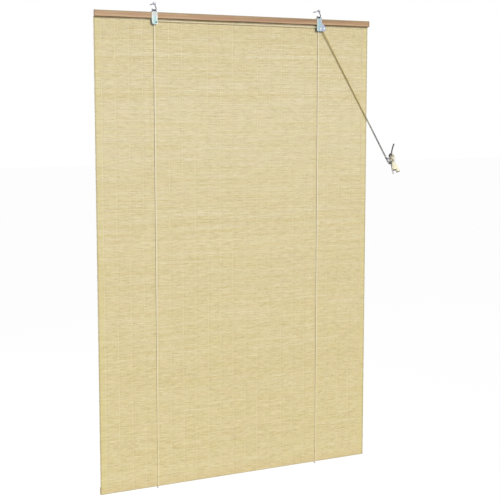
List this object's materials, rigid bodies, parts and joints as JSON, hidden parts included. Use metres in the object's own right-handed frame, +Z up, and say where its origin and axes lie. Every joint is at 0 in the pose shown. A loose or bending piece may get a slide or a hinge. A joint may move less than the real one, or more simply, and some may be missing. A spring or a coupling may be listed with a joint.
{
  "type": "bamboo roll-up blind",
  "caption": "Roll-up window blind: a mat of split bamboo reeds on a wooden head rail, hung from wall hooks, raised by cords over pulleys through a cord lock and tied off on a wall cleat.",
  "frame": {"origin": "on the wall face, midway between the axes of the two hook screws", "axes": "+X to the right along the head rail, +Y into the wall, +Z up"},
  "size_m": [1.1282, 0.0745, 1.6403],
  "materials": {
    "rail_wood": "oiled brown lath",
    "reed": "pale split bamboo, satin",
    "batten_wood": "pale planed lath",
    "plated_steel": "bright nickel plate",
    "rivet_steel": "bright rivet",
    "pulley_steel": "turned steel",
    "cam_steel": "hardened steel",
    "hook_wire": "dull galvanised wire",
    "screw_steel": "zinc plated",
    "cleat_metal": "dark grey satin",
    "staple_steel": "bright wire",
    "cord": "braided cream cord",
    "tassel": "cream, turned"
  },
  "bodies": {
    "base": {"head_rail": "rail_wood", "reed_mat": "reed", "mat_staples": "staple_steel", "left_bracket": "plated_steel", "right_bracket": "plated_steel", "left_axle": "rivet_steel", "right_axle": "rivet_steel", "cam_pin": "rivet_steel", "left_hook": "hook_wire", "right_hook": "hook_wire", "left_hook_screw": "screw_steel", "right_hook_screw": "screw_steel", "cleat": "cleat_metal", "left_front_cord": "cord", "right_front_cord": "cord", "left_back_cord": "cord", "right_back_cord": "cord", "left_pull_cord": "cord", "right_pull_cord": "cord", "cord_staples": "staple_steel", "back_knots": "cord", "left_tassel": "tassel", "right_tassel": "tassel", "tassel_knots": "cord"},
    "bottom": {"bottom_batten": "batten_wood", "left_bottom_loop": "cord", "right_bottom_loop": "cord"},
    "left_pulley": {"left_pulley": "pulley_steel"},
    "cross_pulley": {"cross_pulley": "pulley_steel"},
    "lift_pulley": {"lift_pulley": "pulley_steel"},
    "lock_cam": {"lock_cam": "cam_steel"}
  },
  "joints": [
    {"name": "blind_lift", "type": "slide", "parent": "base", "child": "bottom", "axis": [0, 0, 1], "range_m": [0, 1.45], "deforming": ["reed_mat", "left_front_cord", "right_front_cord", "left_back_cord", "right_back_cord"]},
    {"name": "left_pulley_spin", "type": "hinge", "parent": "base", "child": "left_pulley", "pos_m": [-0.295, -0.02, -0.061], "axis": [0, 1, 0], "continuous": true},
    {"name": "cross_pulley_spin", "type": "hinge", "parent": "base", "child": "cross_pulley", "pos_m": [0.305, -0.0224, -0.061], "axis": [0, 1, 0], "continuous": true},
    {"name": "lift_pulley_spin", "type": "hinge", "parent": "base", "child": "lift_pulley", "pos_m": [0.305, -0.0176, -0.061], "axis": [0, 1, 0], "continuous": true},
    {"name": "lock_cam_pivot", "type": "hinge", "parent": "base", "child": "lock_cam", "pos_m": [0.3185, -0.02, -0.06], "axis": [0, -1, 0], "range_deg": [0, 40]}
  ]
}
